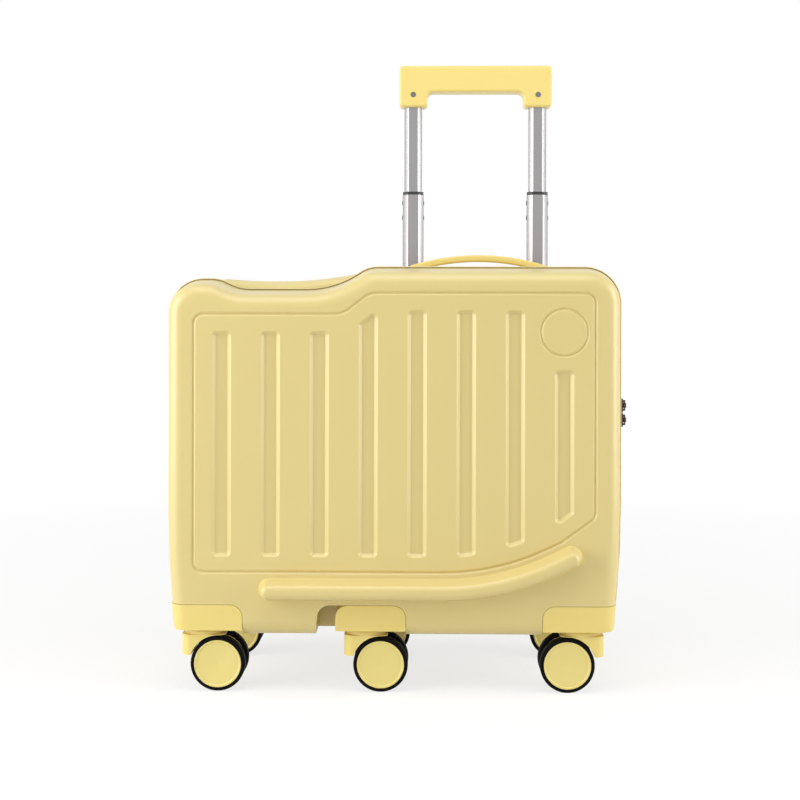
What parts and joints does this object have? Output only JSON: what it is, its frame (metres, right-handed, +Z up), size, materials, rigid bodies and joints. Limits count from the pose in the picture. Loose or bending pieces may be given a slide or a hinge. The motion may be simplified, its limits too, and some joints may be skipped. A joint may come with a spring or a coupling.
{
  "type": "ride-on suitcase",
  "caption": "Hard-shell ride-on suitcase with a dipped saddle, moulded footrests, a telescopic trolley handle, a zipped lid and swivel casters.",
  "frame": {"origin": "on the floor under the middle of the overall footprint", "axes": "+X along the case from the seat end to the handle end, +Y from the lid face to the back face, +Z up"},
  "size_m": [0.4744, 0.248, 0.6545],
  "materials": {
    "shell": "fine matte moulded texture",
    "zip_tape": "woven tape",
    "saddle": "smooth coated pad",
    "accent_plastic": "satin",
    "caster_plastic": "satin",
    "hub_plastic": "satin",
    "tyre_rubber": "matte",
    "tube_metal": "satin anodised",
    "black_plastic": "matte",
    "steel": "plain",
    "zip_metal": "dark nickel"
  },
  "bodies": {
    "main_case": {"back_shell": "shell", "back_zip_tape": "zip_tape", "seat_saddle": "saddle", "trolley_plate": "accent_plastic", "trolley_outer_tubes": "tube_metal", "trolley_bracket": "black_plastic", "lock_case": "accent_plastic", "lock_shaft": "steel", "carry_handle_bases": "accent_plastic", "back_left_caster_housing": "caster_plastic", "back_middle_caster_housing": "caster_plastic", "back_right_caster_housing": "caster_plastic", "back_caster_stems": "steel"},
    "front_lid": {"front_shell": "shell", "front_zip_tape": "zip_tape", "front_left_caster_housing": "caster_plastic", "front_middle_caster_housing": "caster_plastic", "front_right_caster_housing": "caster_plastic", "front_caster_stems": "steel"},
    "trolley_middle": {"trolley_middle_tubes": "tube_metal", "trolley_middle_collars": "black_plastic", "trolley_middle_guides": "black_plastic"},
    "trolley_upper": {"trolley_upper_tubes": "tube_metal", "trolley_upper_guides": "black_plastic", "grip": "accent_plastic", "grip_screws": "steel"},
    "grip_button": {"grip_button": "accent_plastic"},
    "carry_handle": {"carry_handle": "accent_plastic"},
    "lock_dial_1": {"lock_dial_1": "black_plastic"},
    "lock_dial_2": {"lock_dial_2": "black_plastic"},
    "lock_dial_3": {"lock_dial_3": "black_plastic"},
    "lock_button": {"lock_button": "accent_plastic"},
    "upper_zip_slider": {"upper_zip_slider": "zip_metal"},
    "lower_zip_slider": {"lower_zip_slider": "zip_metal"},
    "upper_zip_pull": {"upper_zip_pull": "zip_metal"},
    "lower_zip_pull": {"lower_zip_pull": "zip_metal"},
    "front_left_fork": {"front_left_caster_fork": "caster_plastic"},
    "front_left_wheels": {"front_left_caster_axle": "steel", "front_left_caster_hubs": "hub_plastic", "front_left_caster_tyres": "tyre_rubber"},
    "front_middle_fork": {"front_middle_caster_fork": "caster_plastic"},
    "front_middle_wheels": {"front_middle_caster_axle": "steel", "front_middle_caster_hubs": "hub_plastic", "front_middle_caster_tyres": "tyre_rubber"},
    "front_right_fork": {"front_right_caster_fork": "caster_plastic"},
    "front_right_wheels": {"front_right_caster_axle": "steel", "front_right_caster_hubs": "hub_plastic", "front_right_caster_tyres": "tyre_rubber"},
    "back_left_fork": {"back_left_caster_fork": "caster_plastic"},
    "back_left_wheels": {"back_left_caster_axle": "steel", "back_left_caster_hubs": "hub_plastic", "back_left_caster_tyres": "tyre_rubber"},
    "back_middle_fork": {"back_middle_caster_fork": "caster_plastic"},
    "back_middle_wheels": {"back_middle_caster_axle": "steel", "back_middle_caster_hubs": "hub_plastic", "back_middle_caster_tyres": "tyre_rubber"},
    "back_right_fork": {"back_right_caster_fork": "caster_plastic"},
    "back_right_wheels": {"back_right_caster_axle": "steel", "back_right_caster_hubs": "hub_plastic", "back_right_caster_tyres": "tyre_rubber"}
  },
  "joints": [
    {"name": "lid_hinge", "type": "hinge", "parent": "main_case", "child": "front_lid", "pos_m": [-0.2353, -0.045, 0.24], "axis": [0, 0, -1], "range_deg": [0, 180]},
    {"name": "trolley_lower_slide", "type": "slide", "parent": "main_case", "child": "trolley_middle", "axis": [0, 0, 1], "range_m": [-0.08, 0.18]},
    {"name": "trolley_upper_slide", "type": "slide", "parent": "trolley_middle", "child": "trolley_upper", "axis": [0, 0, 1], "range_m": [-0.092, 0.15]},
    {"name": "grip_button_push", "type": "slide", "parent": "trolley_upper", "child": "grip_button", "axis": [0, 0, -1], "range_m": [0, 0.004], "stiffness_N_per_m": 400, "springref_m": -0.002},
    {"name": "carry_handle_lift", "type": "slide", "parent": "main_case", "child": "carry_handle", "axis": [0, 0, 1], "range_m": [0, 0.015]},
    {"name": "lock_button_push", "type": "slide", "parent": "main_case", "child": "lock_button", "axis": [-1, 0, 0], "range_m": [0, 0.002], "stiffness_N_per_m": 400, "springref_m": -0.001},
    {"name": "lock_dial_1_turn", "type": "hinge", "parent": "main_case", "child": "lock_dial_1", "pos_m": [0.229, -0.018, 0.2382], "axis": [0, 0, 1], "continuous": true},
    {"name": "lock_dial_2_turn", "type": "hinge", "parent": "main_case", "child": "lock_dial_2", "pos_m": [0.229, -0.018, 0.2452], "axis": [0, 0, 1], "continuous": true},
    {"name": "lock_dial_3_turn", "type": "hinge", "parent": "main_case", "child": "lock_dial_3", "pos_m": [0.229, -0.018, 0.2522], "axis": [0, 0, 1], "continuous": true},
    {"name": "upper_zip_slide", "type": "slide", "parent": "main_case", "child": "upper_zip_slider", "axis": [0, 0, 1], "range_m": [0, 0.085]},
    {"name": "upper_zip_pull_swing", "type": "hinge", "parent": "upper_zip_slider", "child": "upper_zip_pull", "pos_m": [0.2383, -0.045, 0.2855], "axis": [0, 0, -1], "range_deg": [0, 150]},
    {"name": "lower_zip_slide", "type": "slide", "parent": "main_case", "child": "lower_zip_slider", "axis": [0, 0, -1], "range_m": [0, 0.12]},
    {"name": "lower_zip_pull_swing", "type": "hinge", "parent": "lower_zip_slider", "child": "lower_zip_pull", "pos_m": [0.2383, -0.045, 0.2705], "axis": [0, 0, -1], "range_deg": [0, 150]},
    {"name": "front_left_swivel", "type": "hinge", "parent": "front_lid", "child": "front_left_fork", "pos_m": [-0.1915, -0.0775, 0.05], "axis": [0, 0, 1], "continuous": true},
    {"name": "front_left_roll", "type": "hinge", "parent": "front_left_fork", "child": "front_left_wheels", "pos_m": [-0.1765, -0.0775, 0.0275], "axis": [0, 1, 0], "continuous": true},
    {"name": "front_middle_swivel", "type": "hinge", "parent": "front_lid", "child": "front_middle_fork", "pos_m": [-0.0275, -0.0775, 0.05], "axis": [0, 0, 1], "continuous": true},
    {"name": "front_middle_roll", "type": "hinge", "parent": "front_middle_fork", "child": "front_middle_wheels", "pos_m": [-0.0125, -0.0775, 0.0275], "axis": [0, 1, 0], "continuous": true},
    {"name": "front_right_swivel", "type": "hinge", "parent": "front_lid", "child": "front_right_fork", "pos_m": [0.19, -0.0775, 0.05], "axis": [0, 0, 1], "continuous": true},
    {"name": "front_right_roll", "type": "hinge", "parent": "front_right_fork", "child": "front_right_wheels", "pos_m": [0.175, -0.0775, 0.0275], "axis": [0, 1, 0], "continuous": true},
    {"name": "back_left_swivel", "type": "hinge", "parent": "main_case", "child": "back_left_fork", "pos_m": [-0.1915, 0.0775, 0.05], "axis": [0, 0, 1], "continuous": true},
    {"name": "back_left_roll", "type": "hinge", "parent": "back_left_fork", "child": "back_left_wheels", "pos_m": [-0.1765, 0.0775, 0.0275], "axis": [0, 1, 0], "continuous": true},
    {"name": "back_middle_swivel", "type": "hinge", "parent": "main_case", "child": "back_middle_fork", "pos_m": [-0.0275, 0.0775, 0.05], "axis": [0, 0, 1], "continuous": true},
    {"name": "back_middle_roll", "type": "hinge", "parent": "back_middle_fork", "child": "back_middle_wheels", "pos_m": [-0.0125, 0.0775, 0.0275], "axis": [0, 1, 0], "continuous": true},
    {"name": "back_right_swivel", "type": "hinge", "parent": "main_case", "child": "back_right_fork", "pos_m": [0.19, 0.0775, 0.05], "axis": [0, 0, 1], "continuous": true},
    {"name": "back_right_roll", "type": "hinge", "parent": "back_right_fork", "child": "back_right_wheels", "pos_m": [0.175, 0.0775, 0.0275], "axis": [0, 1, 0], "continuous": true}
  ]
}
